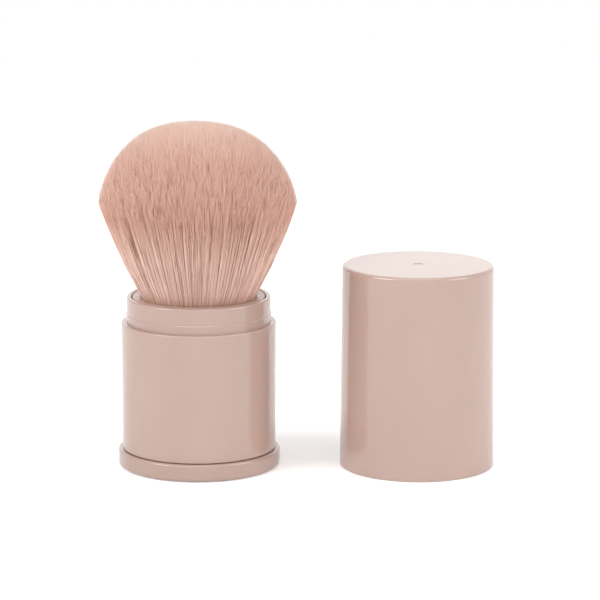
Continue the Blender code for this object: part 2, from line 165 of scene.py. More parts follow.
# Base: an injection-moulded foot in glossy nude plastic. The brush stands on its rim, its flat
# top ring carries the sleeve, and its hollow boss snaps into the bottom of the handle tube.
# The plastic, the clouds in its colour, the smears in its polish, and the waves of its skin
NUDE_PLASTIC = (0.454, 0.315, 0.268, 1.0)
NUDE_FLOW = (0.505, 0.359, 0.305, 1.0)
# The base's plastic and its clouds are a shade darker than the rest: painted shade, for the dimmer
# light low down by the floor
SHADED_BASE_PLASTIC = (0.410, 0.283, 0.240, 1.0)
SHADED_BASE_FLOW = (0.453, 0.321, 0.272, 1.0)
GLOSS_LEVEL = 0.75
GLOW_SHARE = 0.2
GLOW_DEPTH = 0.0008
GLOW_COLOUR_SPREAD = (1.0, 0.4, 0.25)
FLOW_SCALE = 42.0
FLOW_STRETCH = (1.0, 1.0, 0.4)
FLOW_DETAIL = 3.0
FLOW_EDGES = (0.35, 0.65)
FLOW_SHARE = 0.5
POLISH = 0.11
SMEAR_SCALE = 210.0
SMEAR_DETAIL = 5.0
SMEAR_CONTRAST = 0.6
SMEAR_EDGES = (0.3, 0.7)
SMEARED_POLISH = (0.85, 1.3)
PEEL_SCALE = 1500.0
PEEL_DETAIL = 1.0
PEEL_DEPTH = 0.000004
# How finely the turned pieces are made
TURN_STEPS = 192
ARC_STEPS = 6
SHARP_ANGLE = math.radians(34)
ON_AXIS = 1e-6
FINE_ROUND = 0.0002
# The base, and its snap fit in the handle tube
BASE_FLOOR = 0.0015
BASE_TOP_ROUND = 0.0006
BASE_FOOT_ROUND = 0.0010
BASE_RIM_WALL = 0.0022
FOOT_RIM_WIDTH = 0.0026
FOOT_GROOVE_WIDTH = 0.0045
FOOT_GROOVE_DEPTH = 0.0003
BASE_SINK = 0.00002
BOSS_WALL = 0.0015
BOSS_HEIGHT = 0.0085
SNAP_STANDOUT = 0.0006
SNAP_HEIGHT = 0.0016
SNAP_INSET = 0.0012
SNAP_RAMP = 0.0004
FIT_GAP = 0.0003
HANDLE_WALL = 0.0015
GUIDE_STANDOUT = 0.0007


def rounded(corners):
    """Outline through (radius, height, fillet) corners as (radius, height, keyed radius)
    points, with each fillet as an arc. A fourth number is the corner's keyed radius."""
    outline = []
    for index, corner in enumerate(corners):
        radius, height, fillet = corner[:3]
        keyed_radius = corner[3] if len(corner) > 3 else radius
        if fillet == 0:
            outline.append((radius, height, keyed_radius))
            continue
        point = Vector((radius, height))
        before = (Vector(corners[index - 1][:2]) - point).normalized()
        after = (Vector(corners[(index + 1) % len(corners)][:2]) - point).normalized()
        half_angle = before.angle(after) / 2
        centre = point + (before + after).normalized() * fillet / math.sin(half_angle)
        start = (point + before * fillet / math.tan(half_angle) - centre).normalized()
        end = (point + after * fillet / math.tan(half_angle) - centre).normalized()
        for step in range(ARC_STEPS + 1):
            spot = centre + start.slerp(end, step / ARC_STEPS) * fillet
            outline.append((spot.x, spot.y, spot.x))
    return outline


def round_headings():
    """Even directions round the axis, none of them on a key."""
    return [(step * math.tau / TURN_STEPS, False) for step in range(TURN_STEPS)]


def turned_piece(name, corners, headings, x=0.0):
    """A piece turned about an upright axis at x. Its corners run down its outer side and up
    its inner side, and where a heading is keyed they take their keyed radius."""
    bm = bmesh.new()
    rings = []
    for radius, height, keyed_radius in rounded(corners):
        if radius < ON_AXIS:
            rings.append([bm.verts.new((x, 0.0, height))])
            continue
        ring = []
        for heading, keyed in headings:
            reach = keyed_radius if keyed else radius
            spot = (x + reach * math.cos(heading), reach * math.sin(heading), height)
            ring.append(bm.verts.new(spot))
        rings.append(ring)
    pairs = list(zip(rings, rings[1:]))
    if len(rings[0]) > 1:
        pairs.append((rings[-1], rings[0]))
    for upper, lower in pairs:
        for here in range(len(headings)):
            there = (here + 1) % len(headings)
            square = (
                upper[here % len(upper)],
                lower[here % len(lower)],
                lower[there % len(lower)],
                upper[there % len(upper)],
            )
            # Beside a point on the axis, two of the four are one, and the face is a triangle
            bm.faces.new(dict.fromkeys(square))
    mesh = bpy.data.meshes.new(name)
    bm.to_mesh(mesh)
    bm.free()
    mesh.shade_smooth()
    mesh.set_sharp_from_angle(angle=SHARP_ANGLE)
    piece = bpy.data.objects.new(name, mesh)
    bpy.context.scene.collection.objects.link(piece)
    piece.modifiers.new("flats_stay_flat", "WEIGHTED_NORMAL").keep_sharp = True
    return piece


def remapped(tree, value, wanted, given=(0.0, 1.0)):
    """A value carried to the wanted range from the given one, and held at its ends."""
    node = add_node(
        tree,
        "ShaderNodeMapRange",
        {
            "Value": value,
            "From Min": given[0],
            "From Max": given[1],
            "To Min": wanted[0],
            "To Max": wanted[1],
        },
    )
    return node.outputs[0]


def mixed_colour(tree, share, first, second, **settings):
    """The first colour with a share of the second. The node's sockets go by number, because
    several of them have the same name."""
    node = add_node(
        tree, "ShaderNodeMix", {0: share, 6: first, 7: second}, data_type="RGBA", **settings
    )
    return node.outputs[2]


def moulded_surface_group():
    """Look of a polished moulding: faint clouds where the colour flowed, uneven polish, and
    the fine waves of its skin. It puts out a colour, a roughness and a height."""
    group = bpy.data.node_groups.new("moulded_surface", "ShaderNodeTree")
    for name, kind in (
        ("Colour", "NodeSocketColor"),
        ("Flow Colour", "NodeSocketColor"),
        ("Flow Share", "NodeSocketFloat"),
        ("Polish", "NodeSocketFloat"),
    ):
        group.interface.new_socket(name=name, in_out="INPUT", socket_type=kind)
    for name, kind in (
        ("Colour", "NodeSocketColor"),
        ("Roughness", "NodeSocketFloat"),
        ("Height", "NodeSocketFloat"),
    ):
        group.interface.new_socket(name=name, in_out="OUTPUT", socket_type=kind)
    given = add_node(group, "NodeGroupInput").outputs
    place = add_node(group, "ShaderNodeTexCoord").outputs["Object"]
    stretched = add_node(group, "ShaderNodeMapping", {"Vector": place, "Scale": FLOW_STRETCH})
    clouds = add_node(
        group,
        "ShaderNodeTexNoise",
        {"Vector": stretched.outputs[0], "Scale": FLOW_SCALE, "Detail": FLOW_DETAIL},
    )
    clouded = remapped(group, clouds.outputs[0], (0.0, given["Flow Share"]), FLOW_EDGES)
    colour = mixed_colour(group, clouded, given["Colour"], given["Flow Colour"])
    smears = add_node(
        group,
        "ShaderNodeTexNoise",
        {
            "Vector": place,
            "Scale": SMEAR_SCALE,
            "Detail": SMEAR_DETAIL,
            "Roughness": SMEAR_CONTRAST,
        },
    )
    uneven = remapped(group, smears.outputs[0], SMEARED_POLISH, SMEAR_EDGES)
    roughness = add_node(
        group, "ShaderNodeMath", {0: given["Polish"], 1: uneven}, operation="MULTIPLY"
    )
    peel = add_node(
        group, "ShaderNodeTexNoise", {"Vector": place, "Scale": PEEL_SCALE, "Detail": PEEL_DETAIL}
    )
    add_node(
        group,
        "NodeGroupOutput",
        {"Colour": colour, "Roughness": roughness.outputs[0], "Height": peel.outputs[0]},
    )
    return group


moulded_surface = moulded_surface_group()


def new_material(name):
    """A new material, its nodes and its shader."""
    material = bpy.data.materials.new(name)
    material.use_nodes = True
    tree = material.node_tree
    return material, tree, tree.nodes["Principled BSDF"]


def finish_surface(tree, shader, colour, roughness, height, relief, strength=1.0):
    """The shader takes a colour, a roughness and a fine relief that vary over the piece."""
    bump = add_node(
        tree, "ShaderNodeBump", {"Height": height, "Strength": strength, "Distance": relief}
    )
    tree.links.new(colour, shader.inputs["Base Color"])
    tree.links.new(roughness, shader.inputs["Roughness"])
    tree.links.new(bump.outputs[0], shader.inputs["Normal"])


def nude_plastic(name, colour=NUDE_PLASTIC, flow_colour=NUDE_FLOW, polish=POLISH):
    """Glossy nude plastic for one piece, with light that sinks a little way in."""
    material, tree, shader = new_material(name)
    shader.inputs["Specular IOR Level"].default_value = GLOSS_LEVEL
    shader.inputs["Subsurface Weight"].default_value = GLOW_SHARE
    shader.inputs["Subsurface Radius"].default_value = GLOW_COLOUR_SPREAD
    shader.inputs["Subsurface Scale"].default_value = GLOW_DEPTH
    look = add_node(
        tree,
        "ShaderNodeGroup",
        {"Colour": colour, "Flow Colour": flow_colour, "Flow Share": FLOW_SHARE, "Polish": polish},
        node_tree=moulded_surface,
    ).outputs
    finish_surface(tree, shader, look["Colour"], look["Roughness"], look["Height"], PEEL_DEPTH)
    return material


def dress(piece, material, body, slot, *nodes):
    """The piece gets its material, rides on its body, and stands for its nodes."""
    piece.data.materials.append(material)
    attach(piece, body)
    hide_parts(*nodes)


base_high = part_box("base_flange")[1]
handle_low, handle_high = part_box("core_tube")
base_radius = base_high.x
base_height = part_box("casing_sleeve")[0].z - FIT_GAP - BASE_SINK
handle_radius = handle_high.x - GUIDE_STANDOUT
handle_bore = handle_radius - HANDLE_WALL
plug_radius = handle_bore - FIT_GAP
boss_top = BASE_FLOOR + BOSS_HEIGHT
boss_bead = boss_top - SNAP_INSET - SNAP_HEIGHT


def snap_bead(bottom):
    """Corners down a plug's outer side, over the bead that snaps into the handle tube."""
    crest = plug_radius + SNAP_STANDOUT
    return [
        (plug_radius, bottom + SNAP_HEIGHT, 0),
        (crest, bottom + SNAP_HEIGHT - SNAP_RAMP, 0),
        (crest, bottom + SNAP_RAMP, 0),
        (plug_radius, bottom, 0),
    ]


foot_outer = base_radius - FOOT_RIM_WIDTH
foot_inner = foot_outer - FOOT_GROOVE_WIDTH
base_corners = [
    (0.0, BASE_FLOOR, 0),
    (plug_radius - BOSS_WALL, BASE_FLOOR, 0),
    (plug_radius - BOSS_WALL, boss_top, 0),
    (plug_radius, boss_top, 0),
    *snap_bead(boss_bead),
    (plug_radius, BASE_FLOOR, 0),
    (base_radius - BASE_RIM_WALL, BASE_FLOOR, 0),
    (base_radius - BASE_RIM_WALL, base_height, FINE_ROUND),
    (base_radius, base_height, BASE_TOP_ROUND),
    (base_radius, 0.0, BASE_FOOT_ROUND),
    (foot_outer, 0.0, FINE_ROUND),
    (foot_outer, FOOT_GROOVE_DEPTH, 0),
    (foot_inner, FOOT_GROOVE_DEPTH, 0),
    (foot_inner, 0.0, FINE_ROUND),
    (0.0, 0.0, 0),
]
moulded_base = turned_piece("moulded_base", base_corners, round_headings())
# The base takes the darker plastic, painted shade for its place low by the floor
shaded_base_plastic = nude_plastic("shaded_base_plastic", SHADED_BASE_PLASTIC, SHADED_BASE_FLOW)
dress(moulded_base, shaded_base_plastic, "handle", "nude_plastic", "base_flange")

# Handle tube: moulded in nude plastic, with four ribs along it that keep the sleeve from
# turning. The base snaps into its foot and the bristle cup into its head, bead in groove.
GUIDE_COUNT = 4
GUIDE_WIDTH = 0.0024
# The bristle cup's place under the neck's rim, which sets the place of its groove here
CUP_RECESS = 0.00025
CUP_HEIGHT = 0.0085
SPIGOT_LENGTH = 0.0060


def keyed_headings(plain_radius, keyed_radius, width):
    """Directions round the axis with a key of that width on each guide's line."""
    foot = math.asin(width / 2 / plain_radius)
    crest = math.asin(width / 2 / keyed_radius)
    spacing = math.tau / GUIDE_COUNT
    steps = TURN_STEPS // GUIDE_COUNT
    stretch = spacing - 2 * foot
    headings = []
    for index in range(GUIDE_COUNT):
        middle = index * spacing
        headings += [(middle - crest, True), (middle, True), (middle + crest, True)]
        headings += [
            (middle + foot + step * stretch / steps, False) for step in range(steps + 1)
        ]
    return headings


def snap_groove(bead_bottom):
    """Corners up the tube's bore, round the groove that takes a plug's bead."""
    bottom = bead_bottom - FIT_GAP
    top = bead_bottom + SNAP_HEIGHT + FIT_GAP
    groove = plug_radius + SNAP_STANDOUT + FIT_GAP
    return [
        (handle_bore, bottom, 0),
        (groove, bottom + SNAP_RAMP, 0),
        (groove, top - SNAP_RAMP, 0),
        (handle_bore, top, 0),
    ]


neck_low, neck_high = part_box("neck_tube")
cup_top = neck_high.z - CUP_RECESS
cup_bottom = cup_top - CUP_HEIGHT
spigot_bottom = cup_bottom - SPIGOT_LENGTH
spigot_bead = spigot_bottom + SNAP_INSET
guide_radius = handle_high.x
handle_corners = [
    (handle_radius, handle_high.z, 0, guide_radius),
    (handle_radius, handle_low.z, 0, guide_radius),
    (handle_bore, handle_low.z, 0),
    *snap_groove(boss_bead),
    *snap_groove(spigot_bead),
    (handle_bore, handle_high.z, 0),
]
handle_tube = turned_piece(
    "handle_tube", handle_corners, keyed_headings(handle_radius, guide_radius, GUIDE_WIDTH)
)
dress(handle_tube, nude_plastic("handle_plastic"), "handle", "nude_plastic", "core_tube")

# Bristle cup: a ring-shaped cup moulded in nude plastic, less polished than the rest. Its
# spigot snaps into the head of the handle tube, its rim shows round the bristles, and its
# underside stops the sleeve.
CUP_POLISH = 0.30
CUP_WALL = 0.0016
CUP_FULLNESS = 0.0001
CUP_FLOOR_LIFT = 0.0023
CUP_RIM_RISE = 0.0002
CUP_RIM_ROUND = 0.0003
CUP_LIP_DEPTH = 0.0010
CUP_LIP_REACH = 0.00045
SPIGOT_WALL = 0.0012
RING_GROOVE_LIFT = 0.0005
RING_GROOVE_HEIGHT = 0.0013
RING_GROOVE_DEPTH = 0.0010

cup_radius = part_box("head_holder")[1].x + CUP_FULLNESS
cup_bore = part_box("head_holder")[1].x - CUP_WALL
cup_rim = cup_top + CUP_RIM_RISE
cup_lip_bore = cup_bore - CUP_LIP_REACH
cup_floor = cup_bottom + CUP_FLOOR_LIFT
groove_bottom = cup_bottom + RING_GROOVE_LIFT
groove_top = groove_bottom + RING_GROOVE_HEIGHT
cup_corners = [
    (cup_radius, cup_rim, CUP_RIM_ROUND),
    (cup_radius, groove_top, 0),
    (cup_radius - RING_GROOVE_DEPTH, groove_top, 0),
    (cup_radius - RING_GROOVE_DEPTH, groove_bottom, 0),
    (cup_radius, groove_bottom, 0),
    (cup_radius, cup_bottom, 0),
    (plug_radius, cup_bottom, 0),
    *snap_bead(spigot_bead),
    (plug_radius, spigot_bottom, 0),
    (plug_radius - SPIGOT_WALL, spigot_bottom, 0),
    (plug_radius - SPIGOT_WALL, cup_floor, 0),
    (cup_bore, cup_floor, 0),
    (cup_bore, cup_rim - CUP_LIP_DEPTH, 0),
    (cup_lip_bore, cup_rim - CUP_LIP_DEPTH, 0),
    (cup_lip_bore, cup_rim, FINE_ROUND),
]
bristle_cup = turned_piece("bristle_cup", cup_corners, round_headings())
cup_plastic = nude_plastic("cup_plastic", polish=CUP_POLISH)
dress(bristle_cup, cup_plastic, "handle", "nude_plastic", "head_holder")

# Friction ring: a round ring moulded in black rubber and dusted with talc. It sits in the
# cup's groove and drags on the sleeve's bore, so that the sleeve stays where it is put.
RUBBER = (0.030, 0.030, 0.032, 1.0)
RUBBER_DUST = (0.075, 0.072, 0.070, 1.0)
TALC_SCALE = 900.0
TALC_DETAIL = 4.0
RUBBER_ROUGHNESS = (0.5, 0.85)
RUBBER_GRAIN = 0.00001


def dress_packed(node, material):
    """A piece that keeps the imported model's mesh gets a finer material."""
    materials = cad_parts[node].data.materials
    materials.clear()
    materials.append(material)


rubber, tree, shader = new_material("black_rubber")
place = add_node(tree, "ShaderNodeTexCoord").outputs["Object"]
talc = add_node(
    tree, "ShaderNodeTexNoise", {"Vector": place, "Scale": TALC_SCALE, "Detail": TALC_DETAIL}
).outputs[0]
dusty = mixed_colour(tree, talc, RUBBER, RUBBER_DUST)
dull = remapped(tree, talc, RUBBER_ROUGHNESS)
finish_surface(tree, shader, dusty, dull, talc, RUBBER_GRAIN)
dress_packed("friction_ring", rubber)

# Ferrule: a thin cup drawn from aluminium sheet, pressed into the bristle cup. The fine lines
# run round it, as drawing and polishing leave them.
ALUMINIUM = (0.80, 0.79, 0.77, 1.0)
ALUMINIUM_LINES = (0.62, 0.61, 0.60, 1.0)
LINE_SCALE = 26000.0
LINE_STRETCH = (0.02, 0.02, 1.0)
LINE_DETAIL = 2.0
SATIN_ROUGHNESS = (0.22, 0.45)
LINE_DEPTH = 0.000004
LINE_STRENGTH = 0.6

drawn_metal, tree, shader = new_material("drawn_aluminium")
shader.inputs["Metallic"].default_value = 1.0
place = add_node(tree, "ShaderNodeTexCoord").outputs["Object"]
level = add_node(tree, "ShaderNodeMapping", {"Vector": place, "Scale": LINE_STRETCH})
lines = add_node(
    tree,
    "ShaderNodeTexNoise",
    {"Vector": level.outputs[0], "Scale": LINE_SCALE, "Detail": LINE_DETAIL},
).outputs[0]
lined = mixed_colour(tree, lines, ALUMINIUM, ALUMINIUM_LINES)
satin = remapped(tree, lines, SATIN_ROUGHNESS)
finish_surface(tree, shader, lined, satin, lines, LINE_DEPTH, LINE_STRENGTH)
dress_packed("ferrule", drawn_metal)

# Glue: a puddle of amber epoxy, poured into the ferrule under the roots of the bristles and
# set there, with small bubbles left in it.
GLUE_COLOUR = (0.42, 0.27, 0.12, 1.0)
GLUE_BUBBLES = (0.62, 0.48, 0.30, 1.0)
BUBBLE_SCALE = 700.0
BUBBLE_REACH = 0.35
GLUE_ROUGHNESS = (0.12, 0.4)
BUBBLE_DEPTH = 0.00004
BUBBLE_STRENGTH = 0.5

amber, tree, shader = new_material("amber_glue")
place = add_node(tree, "ShaderNodeTexCoord").outputs["Object"]
cells = add_node(tree, "ShaderNodeTexVoronoi", {"Vector": place, "Scale": BUBBLE_SCALE})
bubbles = remapped(tree, cells.outputs[0], (1.0, 0.0), (0.0, BUBBLE_REACH))
bubbly = mixed_colour(tree, bubbles, GLUE_COLOUR, GLUE_BUBBLES)
wet = remapped(tree, bubbles, GLUE_ROUGHNESS)
finish_surface(tree, shader, bubbly, wet, bubbles, BUBBLE_DEPTH, BUBBLE_STRENGTH)
dress_packed("glue_plug", amber)

# Bristles: some eighty thousand fine synthetic fibres, rose at the root and paler at the tip,
# glued in as one tuft. They fan out from the cup, cling together in wisps and locks, and end
# on a rounded crown. Their colour also holds painted shade near the cup and painted light on
# the crown's top.
FIBRE_COUNT = 80000
FIBRE_SEED = 7
TUFT_COUNT = 24
GOLDEN_ANGLE = math.pi * (3 - math.sqrt(5))
# The fan, from its roots in the cup to its widest level, and its crown
ROOT_DEPTH = 0.0016
ROOT_SPREAD = 0.01325
HEAD_WIDEST_RISE = 0.0238
FAN_CURVE = 0.25
FAN_FULLNESS = 0.00040
CROWN_FULLNESS = 0.0002
CROWN_HEIGHT_POWER = 1.6
CROWN_RADIUS_POWER = 2.55
CROWN_LEAN = -0.0008
CROWN_LEAN_POWER = 4
BISECTIONS = 30
# Fibres that stop short of the crown
TIP_SHORTFALL = 0.00018
BELT_SHORTFALL = 0.0024
BELT_POWER = 4
SHORT_SHARE = 0.015
SHORT_REACH = 0.0030
SHELL_UNEVENNESS = 0.00012
# One fibre: the share of its length at each ring and at its point, and its radius at each ring
FIBRE_SIDES = 3
FIBRE_STATIONS = (0.0, 0.40, 0.78, 0.94, 1.0)
FIBRE_RADII = (0.000044, 0.000050, 0.000052, 0.000034)
RING_COUNT = len(FIBRE_RADII)
HEADING_JITTER = 0.010
FIBRE_LEAN = 0.00016
FIBRE_LEAN_POWER = 2
TIP_BEND = 0.00030
TIP_BEND_POWER = 6
# How much of the way to its bunch's middle a fibre goes at each station
WISP_COUNT = 9000
WISP_PULL = (0.0, 0.22, 0.34, 0.25, 0.15)
LOCK_COUNT = 2400
LOCK_PULL = (0.0, 0.14, 0.30, 0.22, 0.10)
BUNCH_JITTER = 0.28
# How much each ring is lit as part of the crown, and how far under the belt its centre lies
CROWN_LIGHT_SHARE = (0.0, 0.0, 0.03, 0.18)
CROWN_CENTRE_DROP = 0.004
# Dye along the fibre, partly painted shade near the root, the shades of the batch, and how
# much they show along the fibre
DYE_AND_ROOT_SHADE_STOPS = (
    (0.0, (0.620, 0.330, 0.235)),
    (0.045, (0.660, 0.400, 0.310)),
    (0.10, (0.815, 0.545, 0.437)),
    (0.20, (0.905, 0.646, 0.560)),
    (0.55, (0.952, 0.684, 0.588)),
    (0.80, (0.912, 0.610, 0.502)),
    (0.96, (0.870, 0.532, 0.428)),
    (1.0, (0.945, 0.725, 0.625)),
)
BATCH_STOPS = (
    (0.0, (0.38, 0.24, 0.18)),
    (0.09, (0.66, 0.50, 0.43)),
    (0.10, (0.97, 0.94, 0.93)),
    (0.6, (0.99, 0.98, 0.97)),
    (0.9, (1.0, 1.04, 1.05)),
)
STREAK_STOPS = (
    (0.0, (0.5, 0.5, 0.5)),
    (0.35, (1.0, 1.0, 1.0)),
    (0.93, (1.0, 1.0, 1.0)),
    (1.0, (0.6, 0.6, 0.6)),
)
WISP_DYE_SHARE = 0.45
# Painted light: the colour pales over the crown's top few millimetres, as if lit more from above
CROWN_PAINTED_LIGHT = (0.990, 0.770, 0.665, 1.0)
CROWN_PAINTED_LIGHT_DEPTH = 0.009
CROWN_PAINTED_LIGHT_SHARE = 0.50
FIBRE_GLOSS_LEVEL = 0.25
FIBRE_ROUGHNESS = (0.40, 0.60)
# Baking map: the free edge of a fibre's cell, and where the corners of its foot lie in it
CELL_MARGIN = 0.05
FOOT_PLACES = (0.0, 0.2, 0.1)

head_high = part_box("bristle_head")[1]
root_level = cup_top - ROOT_DEPTH
widest_level = cup_top + HEAD_WIDEST_RISE
head_radius = head_high.y + FAN_FULLNESS
head_top = head_high.z + CROWN_FULLNESS


def fan_radius(height):
    """Radius of the fan's side at a height. Its fibres bend up a little as they spread."""
    climb = (height - root_level) / (widest_level - root_level)
    climb += FAN_CURVE * climb * (1 - climb)
    return ROOT_SPREAD + (head_radius - ROOT_SPREAD) * climb


def crown_radius(height):
    """Radius of the rounded crown at a height above the widest level."""
    climb = np.clip((height - widest_level) / (head_top - widest_level), 0, 1)
    return head_radius * (1 - climb**CROWN_HEIGHT_POWER) ** (1 / CROWN_RADIUS_POWER)


def crown_height(spread):
    """Height at which fibres, each a share of the way out in the fan, meet the crown."""
    low = np.full(len(spread), widest_level)
    high = np.full(len(spread), head_top)
    for _ in range(BISECTIONS):
        middle = (low + high) / 2
        inside = spread * fan_radius(middle) < crown_radius(middle)
        low = np.where(inside, middle, low)
        high = np.where(inside, high, middle)
    return low


def fibre_lines(random):
    """Share of the fan, direction and tip of every fibre. They are spaced like a
    sunflower's seeds, with a little unevenness."""
    order = np.arange(FIBRE_COUNT)
    spread = np.sqrt((order + random.uniform(0, 1, FIBRE_COUNT)) / FIBRE_COUNT)
    heading = order * GOLDEN_ANGLE + random.normal(0, HEADING_JITTER, FIBRE_COUNT)
    tip = crown_height(spread)
    shortfall = random.exponential(TIP_SHORTFALL + BELT_SHORTFALL * spread**BELT_POWER)
    short = random.uniform(0, 1, FIBRE_COUNT) < SHORT_SHARE
    shortfall += short * random.uniform(0, SHORT_REACH, FIBRE_COUNT)
    return spread, heading % math.tau, tip - shortfall


def nearest_bunch(spread, heading, count, random):
    """Which of that many bunches each fibre clings to, and the way to its middle, in shares
    of the fan."""
    order = np.arange(count)
    far = np.sqrt((order + 0.5) / count)
    turn = order * GOLDEN_ANGLE
    middles = np.stack([far * np.cos(turn), far * np.sin(turn), 0 * far], axis=-1)
    spacing = math.sqrt(math.pi / count)
    middles[:, :2] += random.normal(0, BUNCH_JITTER * spacing, (count, 2))
    nearest = KDTree(count)
    for index, middle in enumerate(middles):
        nearest.insert(middle, index)
    nearest.balance()
    fibres = np.stack(
        [spread * np.cos(heading), spread * np.sin(heading), 0 * spread], axis=-1
    )
    bunch = np.array([nearest.find(fibre)[1] for fibre in fibres])
    return bunch, (middles[bunch] - fibres)[:, :2]


def fibre_shades(wisp, random):
    """Shade of every fibre: its own, or that of the wisp it clings to."""
    own = random.uniform(0, 1, FIBRE_COUNT)
    shared = random.uniform(0, 1, WISP_COUNT)[wisp]
    return np.where(random.uniform(0, 1, FIBRE_COUNT) < WISP_DYE_SHARE, shared, own)


def fibre_points(spread, heading, tip, to_wisp, to_lock, random):
    """Places of each fibre's rings and point, as fibres by stations by 3. A fibre leans a
    little its own way, and clings to its neighbours over most of its length."""
    stations = np.array(FIBRE_STATIONS)
    foot = root_level - FIT_GAP
    height = foot + np.outer(tip - foot, stations)
    width = fan_radius(height)
    pull = to_wisp[:, None] * np.array(WISP_PULL)[:, None]
    pull = pull + to_lock[:, None] * np.array(LOCK_PULL)[:, None]
    lean = random.normal(0, FIBRE_LEAN, (FIBRE_COUNT, 1, 2))
    lean = lean * (stations**FIBRE_LEAN_POWER)[:, None]
    bend = random.normal(0, TIP_BEND, (FIBRE_COUNT, 1, 2))
    lean += bend * (stations**TIP_BEND_POWER)[:, None]
    fan = spread[:, None] * np.stack([np.cos(heading), np.sin(heading)], axis=-1)
    flat = (fan[:, None] + pull) * width[..., None] + lean
    # None stands out of the fan's side or the crown, and the outermost end a little inside
    limit = np.where(height > widest_level, crown_radius(height), width)
    limit = limit - random.exponential(SHELL_UNEVENNESS, (FIBRE_COUNT, 1))
    limit = np.maximum(limit, ROOT_SPREAD * (height < widest_level))
    flat *= np.minimum(1, limit / np.linalg.norm(flat, axis=-1))[..., None]
    # The whole head leans a little to one side, more and more towards its crown
    climb = np.clip((height - root_level) / (head_top - root_level), 0, 1)
    flat[..., 0] += CROWN_LEAN * climb**CROWN_LEAN_POWER
    return np.concatenate([flat, height[..., None]], axis=-1)


def fibre_pattern():
    """Corners of one fibre's faces, with the level of each corner and its place round the
    fibre, counted in sides."""
    faces, levels, places = [], [], []
    for ring in range(RING_COUNT - 1):
        for side in range(FIBRE_SIDES):
            there = (side + 1) % FIBRE_SIDES
            low = ring * FIBRE_SIDES
            high = low + FIBRE_SIDES
            faces.append((low + side, low + there, high + there, high + side))
            levels.append((ring, ring, ring + 1, ring + 1))
            places.append((side, side + 1, side + 1, side))
    last = RING_COUNT - 1
    low = last * FIBRE_SIDES
    point = low + FIBRE_SIDES
    for side in range(FIBRE_SIDES):
        there = (side + 1) % FIBRE_SIDES
        faces.append((low + side, low + there, point))
        levels.append((last, last, RING_COUNT))
        places.append((side, side + 1, side + 0.5))
    faces.append(tuple(reversed(range(FIBRE_SIDES))))
    levels.append((0,) * FIBRE_SIDES)
    places.append(FOOT_PLACES)
    return faces, levels, places


def corner_map(mesh, name, first, second):
    """A map on the mesh with these two numbers at each of its corners."""
    corners = mesh.uv_layers.new(name=name)
    values = np.stack([first, second], axis=-1)
    corners.uv.foreach_set("vector", values.astype(np.float32).ravel())
    return corners


def crown_normals(points, across):
    """Way that each vertex of the fibres faces. Near its tip a fibre faces partly as the
    crown does, so that light falls on the tips as on one soft surface."""
    outward = points - np.array([0.0, 0.0, widest_level - CROWN_CENTRE_DROP])
    outward /= np.linalg.norm(outward, axis=-1, keepdims=True)
    share = np.array(CROWN_LIGHT_SHARE)[None, :, None, None]
    sides = across[:, None] * (1 - share) + outward[:, :RING_COUNT, None] * share
    normals = np.concatenate(
        [sides.reshape(len(points), -1, 3), outward[:, RING_COUNT:]], axis=1
    )
    normals = normals.reshape(-1, 3)
    return normals / np.linalg.norm(normals, axis=-1, keepdims=True)


def fibre_mesh(name, points, spin, shade):
    """Closed three-sided fibres that end in a point. One map holds their shade and the
    share along them, and another gives each fibre its own cell for baking."""
    count = len(points)
    turn = spin[:, None] + np.arange(FIBRE_SIDES) * math.tau / FIBRE_SIDES
    across = np.stack([np.cos(turn), np.sin(turn), np.zeros_like(turn)], axis=-1)
    radii = np.array(FIBRE_RADII)[None, :, None, None]
    body = points[:, :RING_COUNT, None] + across[:, None] * radii
    verts = np.concatenate([body.reshape(count, -1, 3), points[:, RING_COUNT:]], axis=1)
    faces, levels, places = fibre_pattern()
    pattern = np.concatenate(faces)
    along = np.array(FIBRE_STATIONS)[np.concatenate(levels)]
    around = np.concatenate(places) / FIBRE_SIDES
    corners = (pattern[None] + np.arange(count)[:, None] * verts.shape[1]).ravel()
    sizes = np.tile([len(face) for face in faces], count)
    starts = np.concatenate([[0], np.cumsum(sizes)[:-1]])
    mesh = bpy.data.meshes.new(name)
    mesh.vertices.add(count * verts.shape[1])
    mesh.vertices.foreach_set("co", verts.astype(np.float32).ravel())
    mesh.loops.add(len(corners))
    mesh.loops.foreach_set("vertex_index", corners.astype(np.int32))
    mesh.polygons.add(len(sizes))
    mesh.polygons.foreach_set("loop_start", starts.astype(np.int32))
    mesh.polygons.foreach_set("loop_total", sizes.astype(np.int32))
    mesh.update(calc_edges=True)
    look = corner_map(mesh, "fibre_map", np.repeat(shade, len(along)), np.tile(along, count))
    columns = math.ceil(math.sqrt(count))
    column = np.arange(count)[:, None] % columns
    row = np.arange(count)[:, None] // columns
    used = 1 - 2 * CELL_MARGIN
    corner_map(
        mesh,
        "OFBake",
        (column + CELL_MARGIN + used * around) / columns,
        (row + CELL_MARGIN + used * along) / columns,
    )
    mesh.uv_layers.active = look
    mesh.shade_smooth()
    mesh.normals_split_custom_set_from_vertices(crown_normals(points, across).tolist())
    return mesh


def colour_ramp(tree, source, stops):
    """A ramp through (place, colour) stops, driven by the source. Returns its output."""
    node = add_node(tree, "ShaderNodeValToRGB", {"Fac": source})
    elements = node.color_ramp.elements
    elements.remove(elements[-1])
    elements[0].position = stops[0][0]
    elements[0].color = (*stops[0][1], 1.0)
    for place, colour in stops[1:]:
        elements.new(place).color = (*colour, 1.0)
    return node.outputs["Color"]


fibre, tree, shader = new_material("bristle_fibre")
shader.inputs["Specular IOR Level"].default_value = FIBRE_GLOSS_LEVEL
look = add_node(tree, "ShaderNodeUVMap", uv_map="fibre_map")
spot = add_node(tree, "ShaderNodeSeparateXYZ", {0: look.outputs[0]})
batch_shade = spot.outputs["X"]
share_along = spot.outputs["Y"]
